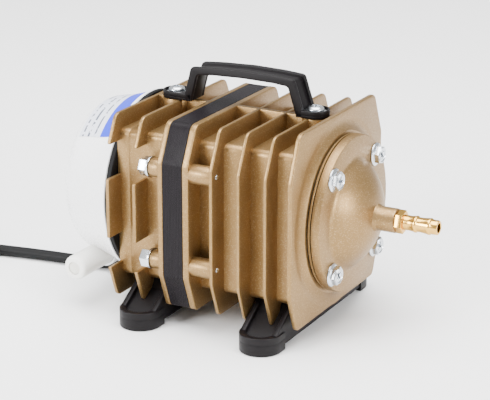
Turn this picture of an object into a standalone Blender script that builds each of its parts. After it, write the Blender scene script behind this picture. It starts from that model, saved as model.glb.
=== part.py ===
"""Electromagnetic piston air pump for ponds and aquariums.

Frame: +X points out of the air outlet, +Z is up, the floor is Z = 0 and the origin is under the middle.
Sizes below are millimetres. The helpers turn them into metres.
"""

import math

import bmesh
import bpy
from mathutils import Matrix, Vector

# Casings: the pump's axis runs along X at this height, and every fin has the same outline.
AXIS_Z = 69.4
BODY_HALF_WIDTH = 46.0
BODY_LOW = 24.4
BODY_HIGH = 114.4
BODY_CORNER = 5.0
FIN_HALF_WIDTH = 60.0
FIN_TOP = 124.4
FIN_BOTTOM = 12.5
FIN_TOP_HALF = 49.3
FIN_BOTTOM_HALF = 51.6
SHOULDER_HIGH = 102.2
SHOULDER_LOW = 34.4
FIN_CORNER = 6.0
PLATE_TOP = 128.0

FRONT_FLANGE = (-18.9, -14.95)
FRONT_FINS = ((-1.5, 0.6), (16.1, 18.0), (33.1, 35.0))
FRONT_PLATE = (48.06, 50.9)
REAR_FLANGE = (-35.1, -32.0)
REAR_FINS = ((-52.2, -50.0), (-70.1, -67.9))
STATOR = (-31.85, -19.05)
RIB_HALF = 1.75

BOLT_Y = 54.2
BOLT_Z = 28.0
BOLT_RADIUS = 3.0
BOLT_HOLE = 3.3
SCREW_SPREAD = 28.28  # the four dome screws stand on an 80 mm circle
GAP = 0.3

# Air end, from the land on the front plate to the hose barb.
LAND_FACE = 53.2
DOME_FACE = 61.1
DOME_RADIUS = 46.3
BARB_TIP = 114.1

# Piston and cylinder.
BORE = 16.0
PISTON_RADIUS = 15.95
ROD_RADIUS = 5.0
ROUND_SIDES = 24
LARGE_SIDES = 24
HOLE_SIDES = 8

EAR_X = (35.8, -56.3)
FOOT_X = (30.8, -49.1)
FOOT_Y = 57.4
FOOT_RADIUS = 12.6
FOOT_SCREW_Y = 34.0

# Mains lead: it leaves under the rear cap and lies on the floor.
CORD_DIAMETER = 7.0
COIL_CENTRE = (-238.0, -45.5)
COIL_MEAN = 35.0

METRE = 0.001


def clear_scene():
    for old in list(bpy.data.objects):
        bpy.data.objects.remove(old, do_unlink=True)


def make_material(name, colour, roughness, metallic):
    material = bpy.data.materials.new(name)
    material.use_nodes = True
    shader = material.node_tree.nodes["Principled BSDF"]
    shader.inputs["Base Color"].default_value = (*colour, 1.0)
    shader.inputs["Roughness"].default_value = roughness
    shader.inputs["Metallic"].default_value = metallic
    return material


def new_object(name, mesh, location=(0, 0, 0), rotation=(0, 0, 0)):
    thing = bpy.data.objects.new(name, mesh)
    thing.location = Vector(location) * METRE
    thing.rotation_euler = rotation
    collection.objects.link(thing)
    return thing


def mesh_from(name, bm):
    mesh = bpy.data.meshes.new(name)
    bm.to_mesh(mesh)
    bm.free()
    return mesh


def box(low, high, name="box"):
    """A block between two corners."""
    bm = bmesh.new()
    size = [(b - a) * METRE for a, b in zip(low, high)]
    bmesh.ops.create_cube(bm, size=1.0, matrix=Matrix.Diagonal((*size, 1.0)))
    return new_object(name, mesh_from(name, bm), [(a + b) / 2 for a, b in zip(low, high)])


AXES = {"X": (0, math.pi / 2, 0), "Y": (-math.pi / 2, 0, 0), "Z": (0, 0, 0)}


def rod(axis, start, end, radius, centre, sides=16, end_radius=None, name="rod"):
    """A cylinder or cone along an axis. centre holds the two coordinates across that axis."""
    bm = bmesh.new()
    top = radius if end_radius is None else end_radius
    length = (end - start) * METRE
    bmesh.ops.create_cone(
        bm, cap_ends=True, segments=sides, radius1=radius * METRE, radius2=top * METRE, depth=length
    )
    middle = (start + end) / 2
    place = {
        "X": (middle, centre[0], centre[1]),
        "Y": (centre[0], middle, centre[1]),
        "Z": (centre[0], centre[1], middle),
    }[axis]
    return new_object(name, mesh_from(name, bm), place, AXES[axis])


def evaluated_mesh(thing):
    bpy.context.view_layer.update()
    graph = bpy.context.evaluated_depsgraph_get()
    return bpy.data.meshes.new_from_object(thing.evaluated_get(graph))


def baked(thing, weld=0.00001, close_ends=False, flat_ends=False):
    """Turns a curve or an object with modifiers into a plain welded mesh object."""
    mesh = evaluated_mesh(thing)
    name = thing.name
    place = thing.matrix_world.copy()
    bpy.data.objects.remove(thing)
    bm = bmesh.new()
    bm.from_mesh(mesh)
    bmesh.ops.remove_doubles(bm, verts=bm.verts, dist=weld)
    if close_ends:
        bmesh.ops.holes_fill(bm, edges=bm.edges, sides=0)
    if flat_ends:  # a turned shape's flat ends become one face each
        middles = [v for v in bm.verts if math.hypot(v.co.x, v.co.y) < 0.000001]
        bmesh.ops.dissolve_verts(bm, verts=middles)
    bmesh.ops.recalc_face_normals(bm, faces=bm.faces)
    bm.to_mesh(mesh)
    bm.free()
    plain = bpy.data.objects.new(name, mesh)
    plain.matrix_world = place
    collection.objects.link(plain)
    return plain


def slab(axis, start, end, outline, name="slab"):
    """A flat outline given thickness along an axis. On X the points are (Y, Z), on Y (X, Z), on Z (X, Y)."""
    curve = bpy.data.curves.new(name, "CURVE")
    curve.dimensions = "2D"
    curve.fill_mode = "BOTH"
    curve.extrude = (end - start) * METRE / 2
    spline = curve.splines.new("POLY")
    spline.points.add(len(outline) - 1)
    for point, (across, up) in zip(spline.points, outline):
        point.co = (across * METRE, up * METRE, 0, 1)
    spline.use_cyclic_u = True
    middle = (start + end) / 2
    half = math.pi / 2
    place, turn = {
        "X": ((middle, 0, 0), (half, 0, half)),
        "Y": ((0, middle, 0), (half, 0, 0)),
        "Z": ((0, 0, middle), (0, 0, 0)),
    }[axis]
    return baked(new_object(name, curve, place, turn))


def turned(axis, profile, centre, sides=ROUND_SIDES, name="turned", closed=False, sweep=360.0, turn=0.0):
    """A turned shape from (distance along the axis, radius) points."""
    bm = bmesh.new()
    points = [bm.verts.new((radius * METRE, 0, along * METRE)) for along, radius in profile]
    for first, second in zip(points, points[1:]):
        bm.edges.new((first, second))
    if closed:
        bm.edges.new((points[-1], points[0]))
    place = {"X": (0, *centre), "Y": (centre[0], 0, centre[1]), "Z": (*centre, 0)}[axis]
    thing = new_object(name, mesh_from(name, bm), place, AXES[axis])
    screw = thing.modifiers.new("turn", "SCREW")
    screw.axis = "Z"
    screw.angle = math.radians(sweep)
    screw.steps = sides
    screw.render_steps = sides
    screw.use_merge_vertices = sweep == 360.0
    screw.merge_threshold = 0.00001
    thing.rotation_euler.rotate_axis("Z", math.radians(turn))
    return baked(thing, close_ends=sweep != 360.0, flat_ends=not closed)


def combine(target, others, operation):
    """Joins the others into the target, or cuts them out of it, one after another."""
    for index, other in enumerate(others):
        modifier = target.modifiers.new(f"{operation}{index}", "BOOLEAN")
        modifier.operation = operation
        modifier.solver = "EXACT"
        modifier.object = other
    result = baked(target, 0.000002)
    for other in others:
        bpy.data.objects.remove(other)
    return result


def join(target, others):
    return combine(target, others, "UNION")


def cut(target, others):
    return combine(target, others, "DIFFERENCE")


def finish(thing, name, material, parent=None, smooth=True):
    """Names a finished piece, gives it its material and hangs it under its body's empty."""
    thing.name = name
    thing.data.name = name
    thing.data.materials.clear()
    thing.data.materials.append(materials[material])
    if smooth:
        thing.data.shade_smooth()
        thing.data.set_sharp_from_angle(angle=math.radians(30))
    if parent is not None:
        bpy.context.view_layer.update()
        place = thing.matrix_world.copy()
        thing.parent = parent
        thing.matrix_parent_inverse = parent.matrix_world.inverted()
        thing.matrix_world = place
    return thing


def finish_each(things, name, material):
    """Finishes like pieces under numbered names, such as foot_screw_1."""
    for number, thing in enumerate(things, 1):
        finish(thing, f"{name}_{number}", material)


def rounded(corners, steps=3):
    """An outline with each (x, y, radius) corner replaced by an arc."""
    outline = []
    count = len(corners)
    for index, (x, y, radius) in enumerate(corners):
        here = Vector((x, y))
        before = (Vector(corners[index - 1][:2]) - here).normalized()
        after = (Vector(corners[(index + 1) % count][:2]) - here).normalized()
        if radius == 0:
            outline.append((x, y))
            continue
        half = before.angle(after) / 2
        centre = here + (before + after).normalized() * (radius / math.sin(half))
        start = here + before * (radius / math.tan(half)) - centre
        end = here + after * (radius / math.tan(half)) - centre
        swing = start.angle_signed(end)
        for step in range(steps + 1):
            spoke = start.copy()
            spoke.rotate(Matrix.Rotation(-swing * step / steps, 2))
            outline.append(tuple(centre + spoke))
    return outline


def fin_outline(top=FIN_TOP):
    """Eight-cornered outline that the fins, flanges, plate and stator share."""
    half_low = FIN_BOTTOM_HALF
    right = [
        (half_low, FIN_BOTTOM, 4.0),
        (FIN_HALF_WIDTH, SHOULDER_LOW, 5.0),
        (FIN_HALF_WIDTH, SHOULDER_HIGH, 5.0),
        (FIN_TOP_HALF, top, FIN_CORNER),
    ]
    left = [(-y, z, radius) for y, z, radius in reversed(right)]
    return rounded(right + left, 2)


def body_outline():
    half, low, high = BODY_HALF_WIDTH, BODY_LOW, BODY_HIGH
    corners = [(half, low), (half, high), (-half, high), (-half, low)]
    return rounded([(y, z, BODY_CORNER) for y, z in corners], 2)


def four(spread_y, spread_z):
    """The four places at plus and minus these distances from the pump's axis, as (Y, Z)."""
    return [(a * spread_y, AXIS_Z + b * spread_z) for a in (-1, 1) for b in (-1, 1)]


BOLTS = four(BOLT_Y, BOLT_Z)
SCREWS = four(SCREW_SPREAD, SCREW_SPREAD)
CENTRE = (0.0, AXIS_Z)


def make_front_casing():
    casing = slab("X", FRONT_FLANGE[0], FRONT_PLATE[0] + 1, body_outline())
    adds = [slab("X", *span, fin_outline()) for span in (FRONT_FLANGE, *FRONT_FINS)]
    adds.append(slab("X", *FRONT_PLATE, fin_outline(PLATE_TOP)))
    adds.append(box((FRONT_FLANGE[0] + 1, -RIB_HALF, BODY_HIGH - 4), (FRONT_PLATE[1] - 1, RIB_HALF, FIN_TOP)))
    adds.append(rod("Z", BODY_HIGH - 4, FIN_TOP - 0.1, 8.0, (EAR_X[0], 0)))
    adds += [rod("X", FRONT_FLANGE[1] - 1, FRONT_FINS[0][0] + 1, 5.7, place) for place in BOLTS]
    land = [(FRONT_PLATE[1] - 1, 0), (FRONT_PLATE[1] - 1, 56.5), (FRONT_PLATE[1] + 0.15, 56.5)]
    land += [(51.4, 51.8), (52.2, 49.2), (LAND_FACE, 47.6), (LAND_FACE, 0)]
    adds.append(turned("X", land, CENTRE, LARGE_SIDES))
    casing = join(casing, adds)
    cuts = [rod("X", FRONT_FLANGE[0] - 1, 12.0, 40.0, CENTRE, LARGE_SIDES)]
    cuts.append(rod("X", 11.0, LAND_FACE + 1, 20.3, CENTRE, ROUND_SIDES))
    cuts += [rod("X", 42.0, LAND_FACE + 1, BOLT_HOLE, place, HOLE_SIDES) for place in SCREWS]
    cuts += [rod("X", FRONT_FLANGE[0] - 1, -5.5, BOLT_HOLE, place, HOLE_SIDES) for place in BOLTS]
    cuts.append(rod("Z", 113.0, FIN_TOP + 1, 2.8, (EAR_X[0], 0), 12))
    cuts += [rod("Z", FIN_BOTTOM - 1, 36.0, 2.7, (FOOT_X[0], side * FOOT_SCREW_Y), HOLE_SIDES) for side in (-1, 1)]
    finish(cut(casing, cuts), "front_casing", "cast_gold")


def make_rear_casing():
    rear_face = REAR_FINS[1][0]
    casing = slab("X", rear_face, REAR_FLANGE[1] - 1, body_outline())
    adds = [slab("X", *span, fin_outline()) for span in (REAR_FLANGE, *REAR_FINS)]
    adds.append(box((rear_face + 1, -RIB_HALF, BODY_HIGH - 4), (REAR_FLANGE[1] - 1, RIB_HALF, FIN_TOP)))
    adds.append(rod("Z", BODY_HIGH - 4, FIN_TOP - 0.1, 8.0, (EAR_X[1], 0)))
    adds += [rod("X", -41.5, REAR_FLANGE[0] + 1, 5.5, place) for place in BOLTS]
    casing = join(casing, adds)
    cuts = [rod("X", -62.0, REAR_FLANGE[1] + 1, 40.0, CENTRE, LARGE_SIDES)]
    cuts.append(rod("X", rear_face - 1, -61.0, 8.3, CENTRE, 20))
    cuts += [rod("X", rear_face - 1, -61.0, 5.0, place, HOLE_SIDES) for place in four(21.0, 21.0)]
    cuts += [rod("X", rear_face - 1, -64.0, 2.3, place, HOLE_SIDES) for place in cap_screw_places()]
    cuts += [rod("X", -42.5, REAR_FLANGE[1] + 1, BOLT_HOLE, place, HOLE_SIDES) for place in BOLTS]
    cuts.append(rod("Z", 113.0, FIN_TOP + 1, 2.8, (EAR_X[1], 0), 12))
    cuts += [rod("Z", FIN_BOTTOM - 1, 36.0, 2.7, (FOOT_X[1], side * FOOT_SCREW_Y), HOLE_SIDES) for side in (-1, 1)]
    for side in (-1, 1):  # room for a spanner on each bolt head
        inner, outer = sorted((side * (BODY_HALF_WIDTH + 0.1), side * (FIN_HALF_WIDTH + 1)))
        for low, high in ((32.6, 51.0), (87.0, 107.6)):
            cuts.append(box((rear_face - 1, inner, low), (REAR_FINS[0][1] + 1, outer, high)))
    finish(cut(casing, cuts), "rear_casing", "cast_gold")


def cap_screw_places():
    return [(30.0, AXIS_Z), (-30.0, AXIS_Z), (0.0, AXIS_Z + 30.0), (0.0, AXIS_Z - 30.0)]


def make_stator():
    start, end = STATOR
    stack = slab("X", start, end, fin_outline())
    window = [box((start - 1, -38, AXIS_Z - 34), (end + 1, 38, AXIS_Z + 34))]
    stack = cut(stack, window)
    for side in (-1, 1):  # a pole above and below the armature
        low, high = sorted((AXIS_Z + side * 15, AXIS_Z + side * 35))
        stack = join(stack, [box((start, -12, low), (end, 12, high))])
    cuts = [rod("X", start - 1, end + 1, 17.6, CENTRE, ROUND_SIDES)]
    cuts += [rod("X", start - 1, end + 1, BOLT_HOLE, place, HOLE_SIDES) for place in BOLTS]
    finish(cut(stack, cuts), "stator_core", "black_lamination")
    coils, bobbins = [], []
    for side in (-1, 1):
        low, high = sorted((AXIS_Z + side * 20.5, AXIS_Z + side * 32.5))
        ring = box((start - 8, -20, low), (end + 8, 20, high))
        coils.append(cut(ring, [box((start - 2.3, -14.3, low - 1), (end + 2.3, 14.3, high + 1))]))
        low, high = sorted((AXIS_Z + side * 20.0, AXIS_Z + side * 33.5))
        tube = box((start - 2, -14, low), (end + 2, 14, high))
        bobbins.append(cut(tube, [box((start - GAP, -12.3, low - 1), (end + GAP, 12.3, high + 1))]))
    finish_each(coils, "coil", "copper")
    finish_each(bobbins, "coil_bobbin", "white_plastic")


def make_air_end():
    liner = [(12.3, 20.0), (LAND_FACE - 0.1, 20.0), (LAND_FACE - 0.1, BORE), (12.3, BORE)]
    finish(turned("X", liner, CENTRE, closed=True), "cylinder_liner", "steel")

    rings = {
        "cylinder_gasket": (53.3, 53.9, 17.0, "black_rubber"),
        "dome_gasket": (55.25, 55.7, 29.0, "black_rubber"),
    }
    for name, (start, end, inner, material) in rings.items():
        ring = turned("X", [(start, 45.6), (end, 45.6), (end, inner), (start, inner)], CENTRE, LARGE_SIDES, closed=True)
        holes = [rod("X", start - 1, end + 1, BOLT_HOLE, place, HOLE_SIDES) for place in SCREWS]
        finish(cut(ring, holes), name, material)

    plate = rod("X", 54.0, 55.15, 46.2, CENTRE, LARGE_SIDES)
    holes = [rod("X", 53.0, 56.0, BOLT_HOLE, place, HOLE_SIDES) for place in SCREWS]
    holes += [rod("X", 53.0, 56.0, 2.0, place, 6) for place in port_places()]
    holes.append(rod("X", 53.0, 56.0, 2.3, CENTRE, 12))
    finish(cut(plate, holes), "valve_plate", "cast_gold")

    # Spherical dome with a foot fillet, a neck and a screwed flange.
    outer = [(55.8, 28.0), (55.8, DOME_RADIUS), (DOME_FACE, DOME_RADIUS - 0.4), (DOME_FACE, 33.0)]
    outer += [(DOME_FACE + 0.7, 31.6)]
    ball = 41.0
    ball_centre = 77.0 - ball
    for step in range(6):
        angle = math.radians(50.5 - step * 7.8)
        outer.append((ball_centre + ball * math.cos(angle), ball * math.sin(angle)))
    outer += [(77.2, 7.6), (78.2, 7.15), (88.7, 7.15), (88.7, 4.5), (74.0, 4.5)]
    for step in range(3):
        angle = math.radians(10 + step * 17.0)
        outer.append((ball_centre + 37.5 * math.cos(angle), 37.5 * math.sin(angle)))
    dome = turned("X", outer, CENTRE, LARGE_SIDES, closed=True)
    holes = [rod("X", 55.0, DOME_FACE + 1, BOLT_HOLE, place, HOLE_SIDES) for place in SCREWS]
    finish(cut(dome, holes), "dome_cover", "cast_gold")

    screws = []
    for place in SCREWS:
        shank = rod("X", 44.0, DOME_FACE + 1.0, BOLT_RADIUS, place, HOLE_SIDES)
        flange = rod("X", DOME_FACE + 0.2, DOME_FACE + 1.5, 6.9, place, 12)
        head = rod("X", DOME_FACE + 1.4, DOME_FACE + 5.0, 5.77, place, 6)
        washer = rod("X", DOME_FACE + 4.9, DOME_FACE + 5.5, 4.6, place, 12, 3.9)
        screws.append(join(shank, [flange, head, washer]))
    finish_each(screws, "dome_screw", "zinc")

    hexagon = rod("X", 88.9, 93.2, 6.93, CENTRE, 6)
    stem = [(80.0, 2.8), (80.0, 4.2), (92.8, 4.2), (92.95, 4.4), (96.4, 4.4), (98.6, 4.9), (100.4, 4.95)]
    stem += [(101.2, 4.35), (104.2, 4.35), (106.8, 4.9), (108.8, 4.95), (109.6, 4.3), (113.5, 4.3)]
    stem += [(BARB_TIP, 3.9), (BARB_TIP, 2.8)]
    barb = join(turned("X", stem, CENTRE, 14, closed=True), [hexagon])
    barb = cut(barb, [rod("X", 79.0, BARB_TIP + 1, 2.8, CENTRE, 14)])
    finish(barb, "outlet_barb", "brass")

    stop = join(rod("X", 54.2, 58.0, 2.0, CENTRE, 12), [rod("X", 57.7, 58.9, 9.0, CENTRE, 20)])
    finish(stop, "discharge_stop", "steel")
    flap = turned("X", [(55.35, 11.5), (55.95, 11.5), (55.95, 2.4), (55.35, 2.4)], CENTRE, 24, closed=True)
    finish(flap, "discharge_valve", "spring_steel", bodies["discharge_valve"])


def port_places():
    angles = [math.radians(7 + k * 60) for k in range(6)]
    return [(8.0 * math.cos(angle), AXIS_Z + 8.0 * math.sin(angle)) for angle in angles]


def make_piston():
    body = bodies["piston"]
    head = rod("X", 35.0, 49.0, PISTON_RADIUS, CENTRE, ROUND_SIDES)
    groove = [(40.0, 18.0), (42.2, 18.0), (42.2, 14.0), (40.0, 14.0)]
    cuts = [turned("X", groove, CENTRE, closed=True), rod("X", 34.0, 42.3, ROD_RADIUS + GAP, CENTRE, 20)]
    cuts.append(rod("X", 44.5, 50.0, 2.3, CENTRE, 12))
    cuts += [rod("X", 34.0, 50.0, 1.8, place, 6) for place in port_places()]
    finish(cut(head, cuts), "piston_head", "aluminium", body)
    ring = [(40.1, 15.97), (42.1, 15.97), (42.1, 14.3), (40.1, 14.3)]
    finish(turned("X", ring, CENTRE, closed=True), "piston_ring", "ptfe", body)
    finish(rod("X", -66.0, 42.0, ROD_RADIUS, CENTRE, 20), "piston_rod", "steel", body)
    armature = [(-33.7, 17.0), (-11.7, 17.0), (-11.7, ROD_RADIUS + GAP), (-33.7, ROD_RADIUS + GAP)]
    finish(turned("X", armature, CENTRE, closed=True), "armature", "steel", body)
    stop = join(rod("X", 45.0, 51.6, 2.0, CENTRE, 12), [rod("X", 51.2, 52.4, 5.5, CENTRE, 16)])
    finish(stop, "suction_stop", "steel", body)
    flap = turned("X", [(49.15, 11.0), (49.75, 11.0), (49.75, 2.4), (49.15, 2.4)], CENTRE, 24, closed=True)
    finish(flap, "suction_valve", "spring_steel", bodies["suction_valve"])
    bush = [(-72.0, 8.0), (-60.0, 8.0), (-60.0, ROD_RADIUS + 0.05), (-72.0, ROD_RADIUS + 0.05)]
    finish(turned("X", bush, CENTRE, 20, closed=True), "guide_bush", "bronze")


def make_spring():
    """Coil spring between the guide bush and the armature, with its rest length along X."""
    start, end, radius, wire, turns = -58.6, -35.2, 10.0, 1.6, 4
    count = turns * 9
    points = []
    for step in range(count + 1):
        angle = 2 * math.pi * turns * step / count
        along = start + (end - start) * step / count
        points.append((along, radius * math.cos(angle), AXIS_Z + radius * math.sin(angle)))
    finish(tube(points, wire, 2), "return_spring", "steel")


def tube(points, diameter, resolution):
    """A round wire or cord through points in millimetres."""
    curve = bpy.data.curves.new("tube", "CURVE")
    curve.dimensions = "3D"
    curve.bevel_depth = diameter * METRE / 2
    curve.bevel_resolution = resolution
    curve.use_fill_caps = True
    spline = curve.splines.new("POLY")
    spline.points.add(len(points) - 1)
    for point, place in zip(spline.points, points):
        point.co = (*[value * METRE for value in place], 1)
    return baked(new_object("tube", curve))


def make_bolts():
    """Hexagon bolts with captive washers, from behind the rear flange into the bosses of the front casing."""
    bolts = []
    for place in BOLTS:
        shank = rod("X", -43.5, -7.0, BOLT_RADIUS, place, HOLE_SIDES)
        head = rod("X", -48.3, -42.6, 5.77, place, 6)
        washer = rod("X", -42.8, -41.7, 6.4, place, 12)
        bolts.append(join(shank, [head, washer]))
    finish_each(bolts, "casing_bolt", "zinc")


HANDLE_HALF = 8.25
HANDLE_BASE = 124.7


def handle_outline(inset):
    """Side view of the carrying handle. inset lowers the outer surface, which makes its channel."""
    outer = [(44.05, 129.2 - inset), (31.2 - inset, 129.2 - inset), (25.4 - inset, 146.4 - inset)]
    arch = [(12.0, 147.3), (-8.0, 147.8), (-28.0, 147.0)]
    outer += [(x, z - inset) for x, z in arch]
    outer += [(-42.2 + inset, 145.8 - inset), (-46.6 + inset, 129.2 - inset), (-64.7, 129.2 - inset)]
    inner = [(-64.7, HANDLE_BASE), (-42.6, HANDLE_BASE), (-38.0, 141.4)]
    inner += [(-28.0, 142.4), (-8.0, 143.2), (12.0, 142.7), (21.4, 142.0), (27.0, HANDLE_BASE)]
    inner += [(44.05, HANDLE_BASE)]
    return outer + inner


def make_handle():
    sunk = slab("Y", -6.0, 6.0, handle_outline(1.3))
    rails = [slab("Y", *span, handle_outline(0)) for span in ((-HANDLE_HALF, -5.4), (5.4, HANDLE_HALF))]
    handle = join(sunk, rails)
    middle = [(EAR_X[0] - 1, -9.0), (EAR_X[0] - 1, 9.0), (EAR_X[1] + 1, 9.0), (EAR_X[1] + 1, -9.0)]
    keep = slab("Z", 120.0, 150.0, middle)
    ends = [rod("Z", 120.5, 149.5, HANDLE_HALF, (x, 0), 24) for x in EAR_X]
    handle = combine(handle, [join(keep, ends)], "INTERSECT")
    cuts = [rod("Z", 127.0, 131.0, 6.9, (x, 0), 20) for x in EAR_X]
    cuts += [rod("Z", 120.0, 131.0, 3.0, (x, 0), 12) for x in EAR_X]
    finish(cut(handle, cuts), "handle", "black_plastic")
    screws = []
    for x in EAR_X:
        head = rod("Z", 127.8, 130.6, 5.0, (x, 0), 20, 3.2)
        washer = rod("Z", 127.1, 127.9, 6.4, (x, 0), 20)
        screws.append(join(rod("Z", 114.5, 129.0, 2.5, (x, 0), 12), [head, washer]))
    finish_each(screws, "handle_screw", "zinc")


def make_foot(name, x, fin):
    """A cross-member under the casing: round pads, sloping shoulders with pockets and a slot for a fin."""
    top = BODY_LOW - GAP
    outline = [(-60.0, 2.5), (60.0, 2.5), (60.0, 11.0), (39.0, top), (-39.0, top), (-60.0, 11.0)]
    bar = slab("X", x - 11.8, x + 11.8, outline)
    pads = [rod("Z", 0.0, 11.0, FOOT_RADIUS, (x, side * FOOT_Y), 24) for side in (-1, 1)]
    foot = join(bar, pads)
    cuts = [box((fin[0] - 0.4, -61, FIN_BOTTOM - 0.4), (fin[1] + 0.4, 61, top + 1))]
    for side in (-1, 1):
        pocket = [(67.6, 12.5), (66.6, 7.2), (61.0, 7.2), (43.5, 18.5), (38.5, 30.0), (60.0, 30.0)]
        pocket = [(side * y, z) for y, z in pocket]
        cuts.append(slab("X", x - 8.9, x + 8.9, pocket))
        cuts.append(rod("Z", -1.0, 12.0, 5.2, (x, side * FOOT_SCREW_Y), 16))
        cuts.append(rod("Z", 0.0, top + 1, 2.8, (x, side * FOOT_SCREW_Y), 12))
    finish(cut(foot, cuts), name, "black_plastic")


def make_foot_screws():
    screws = []
    for x in FOOT_X:
        for side in (-1, 1):
            place = (x, side * FOOT_SCREW_Y)
            head = rod("Z", 9.0, 11.7, 3.6, place, 12, 4.8)
            screws.append(join(rod("Z", 11.0, 33.0, 2.4, place, HOLE_SIDES), [head]))
    finish_each(screws, "foot_screw", "zinc")


CAP_SKIN = ((-73.9, 55.2), (-80.0, 53.4), (-88.0, 50.9), (-97.0, 49.0), (-104.0, 47.2), (-108.6, 43.8))
CAP_SKIN += ((-111.6, 39.0), (-112.6, 33.0))
CAP_WALL = 2.4
INLET_X = -97.0
INLET_Z = 25.4
GLAND_Y = 10.0


def make_rear_cap():
    ring = [(-73.6, 56.2), (-70.4, 56.2), (-70.4, 47.5), (-73.6, 47.5)]
    finish(turned("X", ring, CENTRE, LARGE_SIDES, closed=True), "cap_gasket", "black_rubber")
    inner = [(along, radius - CAP_WALL) for along, radius in CAP_SKIN[:5]]
    inner += [(-107.4, 40.6), (-110.2, 33.0)]
    skin = [(-112.6, 0), *reversed(CAP_SKIN), *inner, (-110.2, 0)]
    cap = turned("X", skin, CENTRE, LARGE_SIDES)
    cap = join(cap, [box((-86.0, GLAND_Y - 6, 13.4), (-75.0, GLAND_Y + 6, 23.0))])
    cuts = [rod("X", -114.0, -109.0, 2.3, place, HOLE_SIDES) for place in cap_screw_places()]
    cuts.append(rod("Y", -60.0, -9.0, 7.8, (INLET_X, INLET_Z), 16))
    finish(cut(cap, cuts), "rear_cap", "white_plastic")
    screws = []
    for place in cap_screw_places():
        head = rod("X", -114.1, -112.7, 3.2, place, 12, 4.2)
        screws.append(join(rod("X", -113.2, -66.0, 2.0, place, HOLE_SIDES), [head]))
    finish_each(screws, "cap_screw", "zinc")

    pipe = [(-55.0, 4.0), (-55.0, 5.8), (-54.3, 7.0), (-53.0, 7.5), (-10.0, 7.5), (-10.0, 5.0)]
    pipe += [(-51.0, 5.0), (-51.0, 4.0)]
    finish(turned("Y", pipe, (INLET_X, INLET_Z), 16, closed=True), "inlet_pipe", "cream_plastic")
    finish(rod("Y", -50.7, -34.0, 4.7, (INLET_X, INLET_Z), 16), "inlet_filter", "white_foam")

    lift = 0.35
    sticker = [(-86.9, 51.25 + lift), (-97.0, 49.0 + lift), (-103.6, 47.3 + lift)]
    sticker += [(along, radius + 0.3) for along, radius in reversed(sticker)]
    finish(
        turned("X", sticker, CENTRE, 20, closed=True, sweep=118.0, turn=LABEL_TURN),
        "rating_label",
        "paper_label",
    )


LABEL_TURN = 121.0


def make_electrics():
    block = box((-80.0, -12.0, AXIS_Z + 12), (-70.6, 12.0, AXIS_Z + 24))
    finish(block, "terminal_block", "white_plastic", smooth=False)
    diode = box((-79.0, -9.0, AXIS_Z - 24), (-70.6, 9.0, AXIS_Z - 14))
    finish(diode, "rectifier", "black_plastic", smooth=False)


def smooth_path(route, spacing):
    """Points at even steps along a smooth curve through the route's own points."""
    fine = []
    padded = [route[0], *route, route[-1]]
    for a, b, c, d in zip(padded, padded[1:], padded[2:], padded[3:]):
        for step in range(20):
            t = step / 20
            fine.append(
                [
                    0.5 * (2 * q + (r - p) * t + (2 * p - 5 * q + 4 * r - s) * t**2 + (3 * q - p - 3 * r + s) * t**3)
                    for p, q, r, s in zip(a, b, c, d)
                ]
            )
    fine.append(list(route[-1]))
    lengths = [0.0]
    for first, second in zip(fine, fine[1:]):
        lengths.append(lengths[-1] + math.dist(first, second))
    count = max(2, round(lengths[-1] / spacing))
    points, index = [], 0
    for step in range(count + 1):
        wanted = lengths[-1] * step / count
        while index < len(fine) - 2 and lengths[index + 1] < wanted:
            index += 1
        share = (wanted - lengths[index]) / max(lengths[index + 1] - lengths[index], 1e-9)
        points.append([p + (q - p) * share for p, q in zip(fine[index], fine[index + 1])])
    return points


LEAD_ROUTE = (
    (-106.7, 9.7, 5.8),
    (-114.0, 9.2, 4.6),
    (-124.0, 8.4, 3.7),
    (-138.0, 7.0, 3.6),
    (-154.0, 5.2, 3.6),
    (-170.0, 2.9, 3.6),
    (-184.0, 0.5, 3.6),
    (-197.0, -1.9, 3.6),
    (-210.5, -3.3, 3.6),
)
TAIL_ROUTE = (
    (-282.3, -74.0, 9.0),
    (-283.6, -80.0, 8.2),
    (-284.9, -87.0, 7.5),
    (-285.5, -94.0, 7.2),
)
PLUG_X = -285.7
PLUG_START = -94.4


def make_lead():
    gland = box((-86.0, GLAND_Y - 5.5, 0.9), (-75.0, GLAND_Y + 5.5, 13.1))
    relief = rod("X", -106.0, -85.0, 4.3, (9.7, 5.9), 16, 5.4)
    finish(join(gland, [relief]), "cable_gland", "black_rubber")
    finish(tube(smooth_path(LEAD_ROUTE, 16.0), CORD_DIAMETER, 2), "power_cord", "black_rubber")
    half = 10.6
    ring = [(0.1, COIL_MEAN + half), (14.2, COIL_MEAN + half), (14.2, COIL_MEAN - half), (0.1, COIL_MEAN - half)]
    finish(turned("Z", ring, COIL_CENTRE, 32, closed=True), "cord_coil", "black_rubber")
    finish(tube(smooth_path(TAIL_ROUTE, 13.0), CORD_DIAMETER, 2), "cord_tail", "black_rubber")
    outline = [(4.5, 0.0), (12.5, 19.6), (12.5, 31.6), (-12.5, 31.6), (-12.5, 19.6), (-4.5, 0.0)]
    outline = [(PLUG_X + across, PLUG_START - along) for across, along in outline]
    finish(slab("Z", 0.1, 14.1, outline), "plug_body", "black_rubber", smooth=False)
    pin_base = PLUG_START - 31.9
    pins = [rod("Y", pin_base - 19.0, pin_base, 2.0, (PLUG_X + side * 9.3, 7.1), 12) for side in (-1, 1)]
    finish_each(pins, "plug_pin", "brass")


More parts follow.
